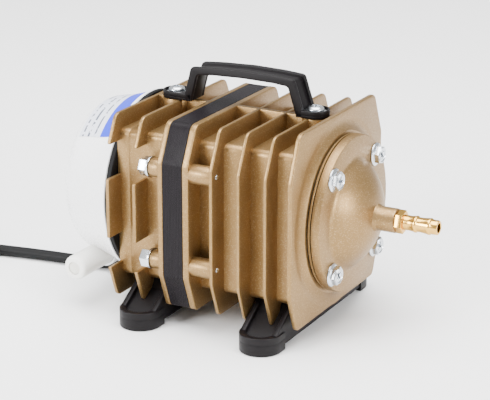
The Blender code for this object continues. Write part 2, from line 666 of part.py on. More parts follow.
clear_scene()
collection = bpy.data.collections.new("air_pump")
bpy.context.scene.collection.children.link(collection)
materials = {
    "cast_gold": make_material("cast_gold", (0.55, 0.36, 0.17), 0.4, 0.6),
    "black_lamination": make_material("black_lamination", (0.03, 0.027, 0.03), 0.45, 0.2),
    "copper": make_material("copper", (0.6, 0.25, 0.1), 0.4, 1.0),
    "white_plastic": make_material("white_plastic", (0.85, 0.85, 0.85), 0.4, 0.0),
    "cream_plastic": make_material("cream_plastic", (0.85, 0.84, 0.8), 0.4, 0.0),
    "white_foam": make_material("white_foam", (0.9, 0.9, 0.88), 0.9, 0.0),
    "steel": make_material("steel", (0.6, 0.6, 0.6), 0.35, 1.0),
    "spring_steel": make_material("spring_steel", (0.5, 0.5, 0.52), 0.3, 1.0),
    "aluminium": make_material("aluminium", (0.75, 0.75, 0.76), 0.4, 1.0),
    "ptfe": make_material("ptfe", (0.15, 0.12, 0.1), 0.5, 0.0),
    "bronze": make_material("bronze", (0.5, 0.33, 0.15), 0.5, 1.0),
    "zinc": make_material("zinc", (0.75, 0.78, 0.8), 0.25, 1.0),
    "brass": make_material("brass", (0.8, 0.55, 0.2), 0.2, 1.0),
    "black_plastic": make_material("black_plastic", (0.025, 0.023, 0.025), 0.4, 0.0),
    "black_rubber": make_material("black_rubber", (0.015, 0.015, 0.017), 0.6, 0.0),
    "paper_label": make_material("paper_label", (0.8, 0.82, 0.9), 0.5, 0.0),
}
bodies = {}
for body_name in ("piston", "suction_valve", "discharge_valve"):
    empty = bpy.data.objects.new(f"{body_name}_axis", None)
    empty.location = Vector((0, 0, AXIS_Z)) * METRE
    collection.objects.link(empty)
    bodies[body_name] = empty

make_front_casing()
make_rear_casing()
make_stator()
make_air_end()
make_piston()
make_spring()
make_bolts()
make_handle()
make_foot("foot_front", FOOT_X[0], FRONT_FINS[2])
make_foot("foot_rear", FOOT_X[1], REAR_FINS[0])
make_foot_screws()
make_rear_cap()
make_electrics()
make_lead()
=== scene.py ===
import math

import bmesh
import bpy
from mathutils import Matrix, Vector


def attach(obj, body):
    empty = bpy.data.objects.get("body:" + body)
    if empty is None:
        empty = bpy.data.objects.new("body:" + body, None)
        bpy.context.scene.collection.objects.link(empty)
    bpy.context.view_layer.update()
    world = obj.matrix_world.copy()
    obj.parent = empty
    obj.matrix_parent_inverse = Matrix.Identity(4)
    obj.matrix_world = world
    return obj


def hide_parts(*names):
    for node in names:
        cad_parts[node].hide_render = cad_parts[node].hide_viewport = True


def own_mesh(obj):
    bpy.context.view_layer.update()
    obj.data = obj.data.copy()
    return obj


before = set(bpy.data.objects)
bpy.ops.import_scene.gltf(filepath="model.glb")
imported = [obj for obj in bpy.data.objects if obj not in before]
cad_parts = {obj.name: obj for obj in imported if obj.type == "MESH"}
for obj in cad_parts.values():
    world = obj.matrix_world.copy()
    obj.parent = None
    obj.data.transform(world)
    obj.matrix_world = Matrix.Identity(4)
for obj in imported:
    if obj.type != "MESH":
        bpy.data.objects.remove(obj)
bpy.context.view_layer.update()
millimetre = 0.001
axisHeight = 69.4  # the pump's own axis, mm above the floor
axisCentre = (0.0, axisHeight)
print("frame loaded")


def linearColour(hexCode, alpha=1.0):
    channels = [int(hexCode[i : i + 2], 16) / 255 for i in (1, 3, 5)]
    return (*[c / 12.92 if c <= 0.04045 else ((c + 0.055) / 1.055) ** 2.4 for c in channels], alpha)


# Settings are the node's own fields; inputs are values or (node, output) links, with _ for a space.
def addNode(tree, kind, settings=None, **inputs):
    node = tree.nodes.new(kind)
    for field, value in (settings or {}).items():
        setattr(node, field, value)
    for key, value in inputs.items():
        socket = node.inputs[int(key[1:])] if key[0] == "i" and key[1:].isdigit() else node.inputs[key.replace("_", " ")]
        if isinstance(value, tuple) and len(value) == 2 and isinstance(value[0], bpy.types.Node):
            tree.links.new(value[0].outputs[value[1]], socket)
        else:
            socket.default_value = value
    return node


def newMaterial(name):
    material = bpy.data.materials.new(name)
    material.use_nodes = True
    tree = material.node_tree
    shader = tree.nodes["Principled BSDF"]
    place = addNode(tree, "ShaderNodeTexCoord")
    return material, tree, shader, (place, "Object")


# A texture scale that gives features of this size.
def perMetre(sizeMm):
    return 1000.0 / sizeMm


def joinInto(tree, source, socket):
    tree.links.new(source[0].outputs[source[1]], socket)


# Turns a shape drawn along local Z so that it runs along an axis through a centre.
def toWorld(axis, centre):
    turn = {
        "X": Matrix(((0, 0, 1), (1, 0, 0), (0, 1, 0))),
        "Y": Matrix(((1, 0, 0), (0, 0, 1), (0, 1, 0))),
        "Z": Matrix.Identity(3),
    }[axis]
    across = {"X": (0, *centre), "Y": (centre[0], 0, centre[1]), "Z": (*centre, 0)}[axis]
    return Matrix.Translation(Vector(across)) @ turn.to_4x4()


# Finishes a shape drawn in millimetres: welded, faces outward, moved to its place in metres.
def sizedMesh(bm, matrix):
    bmesh.ops.remove_doubles(bm, verts=bm.verts, dist=0.002)
    bm.transform(Matrix.Scale(millimetre, 4) @ matrix)
    bmesh.ops.recalc_face_normals(bm, faces=bm.faces)
    mesh = bpy.data.meshes.new("shape")
    bm.to_mesh(mesh)
    bm.free()
    return mesh


# A turned shape. The profile is (distance along the axis, radius) in mm; start and sweep are degrees.
def turnedShape(axis, profile, centre=axisCentre, sides=64, closed=True, sweep=360.0, start=0.0):
    bm = bmesh.new()
    first = math.radians(start)
    points = [bm.verts.new((r * math.cos(first), r * math.sin(first), along)) for along, r in profile]
    edges = [bm.edges.new(pair) for pair in zip(points, points[1:])]
    if closed:
        edges.append(bm.edges.new((points[-1], points[0])))
    bmesh.ops.spin(
        bm, geom=points + edges, cent=(0, 0, 0), axis=(0, 0, 1), angle=math.radians(sweep), steps=sides, use_merge=False
    )
    bmesh.ops.remove_doubles(bm, verts=bm.verts, dist=0.002)
    if sweep < 360:
        bmesh.ops.holes_fill(bm, edges=bm.edges, sides=0)
    return sizedMesh(bm, toWorld(axis, centre))


# A solid round bar with rounded rims.
def roundBar(axis, start, end, radius, centre=axisCentre, edge=0.4, sides=40):
    profile = [(start, 0), (start, radius - edge)]
    profile += [(start + edge * 0.3, radius - edge * 0.3), (start + edge, radius)]
    profile += [(end - edge, radius), (end - edge * 0.3, radius - edge * 0.3), (end, radius - edge), (end, 0)]
    return turnedShape(axis, profile, centre, sides, closed=False)


# An outline with thickness and rounded edges. On X its points are (Y, Z), on Y (X, Z), on Z (X, Y), in mm.
def flatShape(axis, start, end, outlines, edge=0.5, steps=2):
    curve = bpy.data.curves.new("flat", "CURVE")
    curve.dimensions = "2D"
    curve.fill_mode = "BOTH"
    curve.extrude = (end - start) / 2 - edge
    curve.bevel_depth = edge
    curve.bevel_resolution = steps
    curve.offset = -edge
    for outline in outlines:
        spline = curve.splines.new("POLY")
        spline.points.add(len(outline) - 1)
        for point, (across, up) in zip(spline.points, outline):
            point.co = (across, up, 0, 1)
        spline.use_cyclic_u = True
    holder = bpy.data.objects.new("flat", curve)
    bpy.context.scene.collection.objects.link(holder)
    graph = bpy.context.evaluated_depsgraph_get()
    drawn = bpy.data.meshes.new_from_object(holder.evaluated_get(graph))
    bpy.data.objects.remove(holder)
    bm = bmesh.new()
    bm.from_mesh(drawn)
    middle = {"X": ((start + end) / 2, 0, 0), "Y": (0, (start + end) / 2, 0), "Z": (0, 0, (start + end) / 2)}[axis]
    return sizedMesh(bm, Matrix.Translation(Vector(middle)) @ toWorld(axis, (0, 0)))


def blockShape(low, high, edge=0.4):
    outline = [(low[0], low[1]), (high[0], low[1]), (high[0], high[1]), (low[0], high[1])]
    return flatShape("Z", low[2], high[2], [outline], edge)


# Puts shapes together in one piece at the origin.
def pieceOf(name, shapes, material, sharpAngle=32):
    bm = bmesh.new()
    for shape in shapes:
        bm.from_mesh(shape)
    mesh = bpy.data.meshes.new(name)
    bm.to_mesh(mesh)
    bm.free()
    mesh.materials.append(material)
    mesh.shade_smooth()
    mesh.set_sharp_from_angle(angle=math.radians(sharpAngle))
    piece = bpy.data.objects.new(name, mesh)
    bpy.context.scene.collection.objects.link(piece)
    return piece


def standFor(piece, slotName, *nodes, body="pump"):
    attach(piece, body)
    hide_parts(*nodes)
    return piece


# An outline with each (x, y, radius) corner replaced by an arc.
def roundCorners(corners, steps=5):
    outline = []
    for index, (x, y, radius) in enumerate(corners):
        here = Vector((x, y))
        if radius == 0:
            outline.append((x, y))
            continue
        before = (Vector(corners[index - 1][:2]) - here).normalized()
        after = (Vector(corners[(index + 1) % len(corners)][:2]) - here).normalized()
        half = before.angle(after) / 2
        centre = here + (before + after).normalized() * (radius / math.sin(half))
        first = here + before * (radius / math.tan(half)) - centre
        last = here + after * (radius / math.tan(half)) - centre
        swing = first.angle_signed(last)
        for step in range(steps + 1):
            spoke = first.copy()
            spoke.rotate(Matrix.Rotation(-swing * step / steps, 2))
            outline.append(tuple(centre + spoke))
    return outline


def circleOutline(radius, centre=axisCentre, count=48):
    angles = [2 * math.pi * k / count for k in range(count)]
    return [(centre[0] + radius * math.cos(a), centre[1] + radius * math.sin(a)) for a in angles]


cameraSetup = {
    "place": (0.48256, -0.92195, 0.41862),
    "back": (0.44673, -0.83570, 0.31944),
    "right": (0.88174, 0.47173, 0.00101),
    "lens": 136.02,
}


def makeCamera(setup):
    camera = bpy.data.objects.new("camera", bpy.data.cameras.new("camera"))
    camera.data.lens = setup["lens"]
    camera.data.sensor_width = 36.0
    camera.data.clip_start = 0.05
    camera.data.clip_end = 50.0
    back, right = Vector(setup["back"]).normalized(), Vector(setup["right"]).normalized()
    up = back.cross(right)
    turn = Matrix((right, up, back)).transposed()
    camera.matrix_world = Matrix.Translation(Vector(setup["place"])) @ turn.to_4x4()
    bpy.context.scene.collection.objects.link(camera)
    bpy.context.scene.camera = camera


lightSetup = {
    "overhead": {"place": (0.05, -0.1, 1.7), "aim": (0, 0, 0.05), "size": 1.7, "power": 105.0},
    "frontLeft": {"place": (-0.9, -1.5, 0.7), "aim": (-0.02, 0, 0.08), "size": 0.7, "power": 50.0},
    "right": {"place": (1.6, -0.35, 0.55), "aim": (0.05, 0, 0.07), "size": 0.6, "power": 30.0},
}


def makeStudio(setup):
    for name, facts in setup.items():
        light = bpy.data.lights.new(name, "AREA")
        light.shape = "SQUARE"
        light.size = facts["size"]
        light.energy = facts["power"]
        holder = bpy.data.objects.new(name, light)
        holder.location = facts["place"]
        holder.rotation_euler = (Vector(facts["place"]) - Vector(facts["aim"])).to_track_quat("Z", "Y").to_euler()
        bpy.context.scene.collection.objects.link(holder)
    world = bpy.data.worlds.new("studio")
    bpy.context.scene.world = world
    world.use_nodes = True
    world.node_tree.nodes["Background"].inputs["Color"].default_value = (1, 1, 1, 1)
    world.node_tree.nodes["Background"].inputs["Strength"].default_value = 0.8
    bm = bmesh.new()
    bmesh.ops.create_grid(bm, x_segments=1, y_segments=1, size=6.0)
    mesh = bpy.data.meshes.new("floor")
    bm.to_mesh(mesh)
    bm.free()
    floor = bpy.data.objects.new("floor", mesh)
    bpy.context.scene.collection.objects.link(floor)
    material, tree, shader, _ = newMaterial("paperSweep")  # seamless white paper under studio light
    shader.inputs["Base Color"].default_value = linearColour("#fafafa")
    shader.inputs["Roughness"].default_value = 0.9
    floor.data.materials.append(material)
    floor.location = (0, 0, -0.0002)


makeCamera(cameraSetup)
makeStudio(lightSetup)
print("camera and studio ready")


# A moulded, plated or machined surface: two close tones, uneven gloss and a fine relief.
def plainFinish(name, facts):
    material, tree, shader, place = newMaterial(name)
    grain = addNode(tree, "ShaderNodeTexNoise", Vector=place, Scale=perMetre(facts["grain"]), Detail=4.0)
    cloud = addNode(tree, "ShaderNodeTexNoise", Vector=place, Scale=perMetre(facts.get("cloud", 30)), Detail=2.0)
    tone = addNode(tree, "ShaderNodeMix", {"data_type": "RGBA"}, Factor=(cloud, "Fac"))
    tone.inputs["A"].default_value = linearColour(facts["dark"])
    tone.inputs["B"].default_value = linearColour(facts["light"])
    joinInto(tree, (tone, "Result"), shader.inputs["Base Color"])
    gloss = addNode(tree, "ShaderNodeMapRange", Value=(grain, "Fac"))
    gloss.inputs["To Min"].default_value = facts["roughness"][0]
    gloss.inputs["To Max"].default_value = facts["roughness"][1]
    joinInto(tree, (gloss, "Result"), shader.inputs["Roughness"])
    relief = addNode(tree, "ShaderNodeBump", Height=(grain, "Fac"), Strength=facts.get("relief", 0.1))
    relief.inputs["Distance"].default_value = facts.get("depth", 0.05) * millimetre
    joinInto(tree, (relief, "Normal"), shader.inputs["Normal"])
    shader.inputs["Metallic"].default_value = facts.get("metallic", 0.0)
    shader.inputs["Specular IOR Level"].default_value = facts.get("specular", 0.5)
    return material


# Sand-cast aluminium under a metallic lacquer: aluminium flakes sparkle and the cast skin shows through.
def castPaintFinish():
    material, tree, shader, place = newMaterial("metallicGoldLacquerOnCastAluminium")
    flakes = addNode(tree, "ShaderNodeTexVoronoi", Vector=place, Scale=perMetre(0.4))  # flakes drawn coarse enough to show
    skin = addNode(tree, "ShaderNodeTexNoise", Vector=place, Scale=perMetre(1.1), Detail=5.0, Roughness=0.6)
    cloud = addNode(tree, "ShaderNodeTexNoise", Vector=place, Scale=perMetre(26), Detail=2.0)
    body = addNode(tree, "ShaderNodeMix", {"data_type": "RGBA"}, Factor=(cloud, "Fac"))
    body.inputs["A"].default_value = linearColour("#7f643a")
    body.inputs["B"].default_value = linearColour("#90724a")
    brightness = addNode(tree, "ShaderNodeSeparateColor", Color=(flakes, "Color"))
    spark = addNode(tree, "ShaderNodeMapRange", Value=(brightness, "Red"))
    spark.inputs["From Min"].default_value = 0.8
    spark.inputs["From Max"].default_value = 1.0
    spark.inputs["To Max"].default_value = 0.3
    tone = addNode(tree, "ShaderNodeMix", {"data_type": "RGBA"}, Factor=(spark, "Result"))
    joinInto(tree, (body, "Result"), tone.inputs["A"])
    tone.inputs["B"].default_value = linearColour("#d8bf95")
    joinInto(tree, (tone, "Result"), shader.inputs["Base Color"])
    gloss = addNode(tree, "ShaderNodeMapRange", Value=(brightness, "Green"))
    gloss.inputs["To Min"].default_value = 0.33
    gloss.inputs["To Max"].default_value = 0.5
    joinInto(tree, (gloss, "Result"), shader.inputs["Roughness"])
    relief = addNode(tree, "ShaderNodeBump", Height=(skin, "Fac"), Strength=0.25)
    relief.inputs["Distance"].default_value = 0.18 * millimetre
    joinInto(tree, (relief, "Normal"), shader.inputs["Normal"])
    shader.inputs["Metallic"].default_value = 0.8
    return material


# Varnished electrical steel sheets on edge: half-millimetre lines and a few varnish runs.
def laminationFinish():
    material, tree, shader, place = newMaterial("varnishedElectricalSteel")
    parts = addNode(tree, "ShaderNodeSeparateXYZ", Vector=place)
    streak = addNode(tree, "ShaderNodeMapping", Vector=place)
    streak.inputs["Scale"].default_value = (perMetre(0.7), perMetre(14), perMetre(14))
    uneven = addNode(tree, "ShaderNodeTexNoise", Vector=(streak, "Vector"), Scale=1.0, Detail=3.0)
    lines = addNode(tree, "ShaderNodeMath", {"operation": "SINE"})
    turns = addNode(tree, "ShaderNodeMath", {"operation": "MULTIPLY"}, i0=(parts, "X"), i1=2 * math.pi * perMetre(1.0))
    joinInto(tree, (turns, "Value"), lines.inputs[0])
    height = addNode(tree, "ShaderNodeMath", {"operation": "MULTIPLY_ADD"}, i0=(lines, "Value"), i1=0.3, i2=(uneven, "Fac"))
    tone = addNode(tree, "ShaderNodeMix", {"data_type": "RGBA"}, Factor=(uneven, "Fac"))
    tone.inputs["A"].default_value = linearColour("#080607")
    tone.inputs["B"].default_value = linearColour("#1d191d")
    joinInto(tree, (tone, "Result"), shader.inputs["Base Color"])
    relief = addNode(tree, "ShaderNodeBump", Height=(height, "Value"), Strength=0.8)
    relief.inputs["Distance"].default_value = 0.12 * millimetre
    joinInto(tree, (relief, "Normal"), shader.inputs["Normal"])
    gloss = addNode(tree, "ShaderNodeMapRange", Value=(uneven, "Fac"))
    gloss.inputs["To Min"].default_value = 0.3
    gloss.inputs["To Max"].default_value = 0.5
    joinInto(tree, (gloss, "Result"), shader.inputs["Roughness"])
    shader.inputs["Specular IOR Level"].default_value = 0.12
    return material


labelFacts = {"blueFrom": -87.6, "lines": ((-92.0, 1.1), (-96.6, 1.5), (-101.0, 1.2)), "dash": 2.4}


# Printed film: a blue band, pale ground and rows of broken bars that stand for print.
def labelFinish(facts):
    material, tree, shader, place = newMaterial("printedPolyesterFilm")
    parts = addNode(tree, "ShaderNodeSeparateXYZ", Vector=place)
    raised = addNode(tree, "ShaderNodeMath", {"operation": "SUBTRACT"}, i0=(parts, "Z"), i1=axisHeight * millimetre)
    angle = addNode(tree, "ShaderNodeMath", {"operation": "ARCTAN2"}, i0=(raised, "Value"), i1=(parts, "Y"))
    along = addNode(tree, "ShaderNodeMath", {"operation": "MULTIPLY"}, i0=(angle, "Value"), i1=50.0 / facts["dash"])
    rows = addNode(tree, "ShaderNodeMath", {"operation": "MULTIPLY"}, i0=(parts, "X"), i1=perMetre(4.5))
    where = addNode(tree, "ShaderNodeCombineXYZ", X=(along, "Value"), Y=(rows, "Value"))
    broken = addNode(tree, "ShaderNodeTexNoise", Vector=(where, "Vector"), Scale=1.0, Detail=1.0)
    marks = addNode(tree, "ShaderNodeMath", {"operation": "GREATER_THAN"}, i0=(broken, "Fac"), i1=0.47)
    total = None
    for middle, width in facts["lines"]:
        away = addNode(tree, "ShaderNodeMath", {"operation": "ADD"}, i0=(parts, "X"), i1=-middle * millimetre)
        near = addNode(tree, "ShaderNodeMath", {"operation": "ABSOLUTE"}, i0=(away, "Value"))
        inside = addNode(tree, "ShaderNodeMath", {"operation": "LESS_THAN"}, i0=(near, "Value"), i1=width * millimetre / 2)
        if total is None:
            total = inside
        else:
            total = addNode(tree, "ShaderNodeMath", {"operation": "ADD"}, i0=(total, "Value"), i1=(inside, "Value"))
    ink = addNode(tree, "ShaderNodeMath", {"operation": "MULTIPLY"}, i0=(total, "Value"), i1=(marks, "Value"))
    ground = addNode(tree, "ShaderNodeMix", {"data_type": "RGBA"}, Factor=(ink, "Value"))
    ground.inputs["A"].default_value = linearColour("#d9dde8")
    ground.inputs["B"].default_value = linearColour("#5b6070")
    band = addNode(tree, "ShaderNodeMath", {"operation": "GREATER_THAN"}, i0=(parts, "X"))
    band.inputs[1].default_value = facts["blueFrom"] * millimetre
    colour = addNode(tree, "ShaderNodeMix", {"data_type": "RGBA"}, Factor=(band, "Value"))
    joinInto(tree, (ground, "Result"), colour.inputs["A"])
    colour.inputs["B"].default_value = linearColour("#2b3fd6")
    joinInto(tree, (colour, "Result"), shader.inputs["Base Color"])
    shader.inputs["Roughness"].default_value = 0.35
    return material


finishFacts = {
    # zinc plating over steel: bright blue-white with faint tool marks
    "brightZincPlate": {"dark": "#b9bec4", "light": "#e4e8ec", "grain": 0.8, "roughness": (0.16, 0.32), "metallic": 1.0},
    # free-cutting brass straight from the lathe
    "turnedBrass": {"dark": "#c98f35", "light": "#efc468", "grain": 0.5, "roughness": (0.12, 0.26), "metallic": 1.0},
    # glass-filled nylon from an etched mould: satin, slightly warm
    "mouldedBlackNylon": {"dark": "#0b090a", "light": "#131012", "grain": 0.6, "roughness": (0.34, 0.5), "specular": 0.15},
    # glossy white ABS
    "mouldedWhiteAbs": {"dark": "#f2f3f5", "light": "#fbfbfb", "grain": 1.2, "roughness": (0.22, 0.34), "cloud": 60},
    # natural polypropylene, a little yellow
    "naturalPolypropylene": {"dark": "#efeee8", "light": "#f8f7f2", "grain": 1.0, "roughness": (0.3, 0.42)},
    # soft black PVC and rubber with a dull skin
    "softBlackPvc": {"dark": "#0b0b0c", "light": "#131314", "grain": 0.5, "roughness": (0.42, 0.6), "specular": 0.15},
    "sealRubber": {"dark": "#070708", "light": "#0e0e0f", "grain": 0.4, "roughness": (0.6, 0.8), "specular": 0.2},
    "openCellFoam": {"dark": "#d8d6cc", "light": "#f2f1ea", "grain": 0.9, "roughness": (0.85, 1.0), "relief": 1.0, "depth": 0.4},
    "groundSteel": {"dark": "#8f9296", "light": "#b9bcc0", "grain": 0.4, "roughness": (0.25, 0.4), "metallic": 1.0},
    "springSteelStrip": {"dark": "#7f858c", "light": "#a5abb2", "grain": 0.5, "roughness": (0.18, 0.28), "metallic": 1.0},
    "machinedAluminium": {"dark": "#b4b6b8", "light": "#d6d8da", "grain": 0.4, "roughness": (0.28, 0.4), "metallic": 1.0},
    "bronzeFilledPtfe": {"dark": "#4a3322", "light": "#64472f", "grain": 0.4, "roughness": (0.45, 0.6)},
    "sinteredBronze": {"dark": "#85602f", "light": "#a8803f", "grain": 0.3, "roughness": (0.4, 0.6), "metallic": 1.0},
    "enamelledCopper": {"dark": "#8c3f1c", "light": "#b8622f", "grain": 0.9, "roughness": (0.25, 0.4), "metallic": 0.8},
}
finishes = {name: plainFinish(name, facts) for name, facts in finishFacts.items()}
castGold = castPaintFinish()
lamination = laminationFinish()
labelFilm = labelFinish(labelFacts)
print("finishes ready:", len(finishes) + 3)


leadFacts = {
    "diameter": 7.0,
    "coilCentre": (-238.0, -45.5),
    "route": (
        (-106.2, 9.7, 5.8),
        (-114.0, 9.2, 4.6),
        (-124.0, 8.4, 3.7),
        (-138.0, 7.0, 3.6),
        (-154.0, 5.2, 3.6),
        (-170.0, 2.9, 3.6),
        (-184.0, 0.5, 3.6),
        (-197.0, -1.9, 3.6),
        (-210.5, -3.3, 3.6),
        (-224.0, -3.6, 3.6),
    ),
    "tail": (
        (-280.7, -60.0, 10.3),
        (-282.3, -74.0, 9.0),
        (-283.6, -80.0, 8.2),
        (-284.9, -87.0, 7.5),
        (-285.5, -94.0, 7.2),
        (-285.7, -100.0, 7.1),
    ),
    "plugX": -285.7,
    "plugStart": -94.4,
}


def easeStep(value, start, end):
    share = min(1.0, max(0.0, (value - start) / (end - start)))
    return share * share * (3 - 2 * share)


# Two layers of turns. Each turn moves over by one diameter in the same place, and the third climbs.
def coilPoints(centre):
    points = []
    for degrees in range(90, 1981, 10):
        radius = 42 - 7 * easeStep(degrees, 390, 450) - 7 * easeStep(degrees, 750, 810)
        radius += 7 * easeStep(degrees, 1310, 1370) + 7 * easeStep(degrees, 1670, 1730)
        height = 3.6 + 7.05 * easeStep(degrees, 1020, 1100)
        angle = math.radians(degrees)
        points.append((centre[0] + radius * math.cos(angle), centre[1] + radius * math.sin(angle), height))
    return points


def smoothPath(route, perSpan=6):
    points = []
    padded = [route[0], *route, route[-1]]
    for a, b, c, d in zip(padded, padded[1:], padded[2:], padded[3:]):
        for step in range(perSpan):
            t = step / perSpan
            blend = zip(a, b, c, d)
            points.append(
                tuple(
                    0.5 * (2 * q + (r - p) * t + (2 * p - 5 * q + 4 * r - s) * t**2 + (3 * q - p - 3 * r + s) * t**3)
                    for p, q, r, s in blend
                )
            )
    points.append(route[-1])
    return points


def makeLead(facts):
    turns = coilPoints(facts["coilCentre"])
    before = smoothPath([*facts["route"], turns[0], turns[1]])[:-7]
    after = smoothPath([turns[-1], *facts["tail"]])
    points = [*before, *turns[:-1], *after]
    curve = bpy.data.curves.new("mainsLead", "CURVE")
    curve.dimensions = "3D"
    curve.bevel_depth = facts["diameter"] * millimetre / 2
    curve.bevel_resolution = 4
    curve.use_fill_caps = True
    spline = curve.splines.new("POLY")
    spline.points.add(len(points) - 1)
    for point, place in zip(spline.points, points):
        point.co = (*[value * millimetre for value in place], 1)
    spline.use_smooth = True
    curve.materials.append(finishes["softBlackPvc"])
    lead = bpy.data.objects.new("mainsLead", curve)
    bpy.context.scene.collection.objects.link(lead)
    length = sum(math.dist(a, b) for a, b in zip(points, points[1:])) * millimetre
    return lead, length


def makePlug(facts):
    x, y = facts["plugX"], facts["plugStart"]
    outline = [(x + 4.6, y, 1.0), (x + 12.4, y - 19.6, 3.0), (x + 12.4, y - 31.5, 2.0)]
    outline += [(x - 12.4, y - 31.5, 2.0), (x - 12.4, y - 19.6, 3.0), (x - 4.6, y, 1.0)]
    body = flatShape("Z", 0.2, 14.0, [roundCorners(outline)], 2.2, 3)
    ribs = []
    for back in (17, 20, 23):
        corners = [(x + 6, y - back), (x + 6, y - back - 1.2), (x - 6, y - back - 1.2), (x - 6, y - back)]
        ribs.append(flatShape("Z", 13.0, 14.1, [roundCorners([(*corner, 0.4) for corner in corners], 2)], 0.3, 1))
    plug = standFor(pieceOf("mainsPlug", [body, *ribs], finishes["softBlackPvc"]), "black_rubber", "plug_body")
    base = y - 31.0
    pins = [roundBar("Y", base - 19.9, base, 2.0, (x + side * 9.3, 7.1), 0.8, 20) for side in (-1, 1)]
    pinPiece = standFor(pieceOf("plugPins", pins, finishes["turnedBrass"]), "brass", "plug_pin_1", "plug_pin_2")
    return plug, pinPiece


def makeGland():
    block = blockShape((-86.0, 4.6, 0.9), (-75.0, 15.4, 13.0), 0.8)
    steps = 9
    profile = [(-84.0, 0.0), (-84.0, 5.4)]
    for k in range(steps):  # ribs that let the boot bend
        start = -85.2 - k * 2.25
        radius = 5.4 - 1.1 * k / steps
        profile += [(start, radius), (start - 1.3, radius - 0.1), (start - 1.3, radius - 0.9), (start - 2.25, radius - 0.95)]
    profile += [(-106.0, 4.1), (-106.0, 0.0)]
    boot = turnedShape("X", profile, (9.7, 5.9), 32, closed=False)
    return standFor(pieceOf("cableGland", [block, boot], finishes["sealRubber"]), "black_rubber", "cable_gland")


lead, leadLength = makeLead(leadFacts)
plug, plugPins = makePlug(leadFacts)
gland = makeGland()
standFor(lead, "black_rubber", "power_cord", "cord_coil", "cord_tail")
print("mains lead ready:", round(leadLength, 3), "m")


casingFacts = {
    "body": {"half": 46.0, "low": 24.4, "high": 114.4, "corner": 4.0},
    "fin": {"half": 60.0, "top": 124.4, "bottom": 12.5, "topHalf": 49.3, "bottomHalf": 51.6},
    "shoulders": (34.4, 102.2),
    "plateTop": 128.0,
    "frontFins": ((-1.5, 0.6), (16.1, 18.0), (33.1, 35.0)),
    "frontFlange": (-18.9, -14.95),
    "frontPlate": (48.06, 50.9),
    "rearFins": ((-52.2, -50.0), (-70.1, -67.9)),
    "rearFlange": (-35.1, -32.0),
    "notches": ((32.6, 51.0), (87.0, 107.6)),
    "bolts": (54.2, 28.0),
    "ears": (35.8, -56.3),
}


def finOutline(facts, top=None, notched=False):
    fin, (low, high) = facts["fin"], facts["shoulders"]
    upper = top or fin["top"]
    side = [(fin["bottomHalf"], fin["bottom"], 4.0), (fin["half"], low, 6.0)]
    if notched:
        wall = facts["body"]["half"] - 1.0
        for start, end in facts["notches"]:
            side += [(fin["half"], start, 1.0) if start > low else (fin["half"] - 0.6, start, 0.6)]
            side += [(wall, start, 1.5), (wall, end, 1.5), (fin["half"] - (0 if end < high else 2.2), end, 0.8)]
        side = [side[0], *side[2:]]
        lowShare = (side[1][1] - fin["bottom"]) / (low - fin["bottom"])
        side[1] = (fin["bottomHalf"] + (fin["half"] - fin["bottomHalf"]) * lowShare, side[1][1], 0.6)
        highShare = (side[-1][1] - high) / (upper - high)
        side[-1] = (fin["half"] - (fin["half"] - fin["topHalf"]) * highShare, side[-1][1], 0.6)
    else:
        side.append((fin["half"], high, 6.0))
    side.append((fin["topHalf"], upper, 6.0))
    other = [(-y, z, radius) for y, z, radius in reversed(side)]
    return roundCorners(side + other)


def bodyOutline(facts):
    body = facts["body"]
    corners = [(body["half"], body["low"]), (body["half"], body["high"])]
    corners += [(-body["half"], body["high"]), (-body["half"], body["low"])]
    return roundCorners([(y, z, body["corner"]) for y, z in corners])


def boltPlaces(facts):
    y, z = facts["bolts"]
    return [(a * y, axisHeight + b * z) for a in (-1, 1) for b in (-1, 1)]


def makeFrontCasing(facts):
    start, end = facts["frontFlange"][0], facts["frontPlate"][0]
    shapes = [
        flatShape("X", start, 12.0, [bodyOutline(facts), circleOutline(40.0)], 0.2, 1),
        flatShape("X", 12.0, end + 1, [bodyOutline(facts), circleOutline(20.3)], 0.2, 1),
    ]
    for span in (facts["frontFlange"], *facts["frontFins"]):
        shapes.append(flatShape("X", *span, [finOutline(facts), circleOutline(41.0)], 0.55))
    shapes.append(flatShape("X", *facts["frontPlate"], [finOutline(facts, facts["plateTop"]), circleOutline(20.4)], 0.7))
    rib = roundCorners([(-1.75, 110.0, 0), (1.75, 110.0, 0), (1.75, 124.3, 0.6), (-1.75, 124.3, 0.6)], 2)
    shapes.append(flatShape("X", start + 0.5, facts["frontPlate"][1] - 0.6, [rib], 0.2, 1))
    shapes.append(roundBar("Z", 110.0, 124.35, 8.0, (facts["ears"][0], 0), 0.6))
    for place in boltPlaces(facts):
        shapes.append(roundBar("X", facts["frontFlange"][1] - 1, facts["frontFins"][0][0] + 0.8, 5.7, place, 0.2))
    land = [(50.0, 20.4), (50.0, 57.0), (50.85, 57.0), (50.95, 55.6)]
    for k in range(9):  # hollow sweep from the plate up to the land
        share = k / 8
        land.append((50.95 + 2.25 * share**2.2, 55.0 - 7.2 * share))
    land += [(53.2, 47.4), (53.2, 20.4)]
    shapes.append(turnedShape("X", land, sides=96))
    piece = pieceOf("frontCasing", shapes, castGold)
    return standFor(piece, "cast_gold", "front_casing")


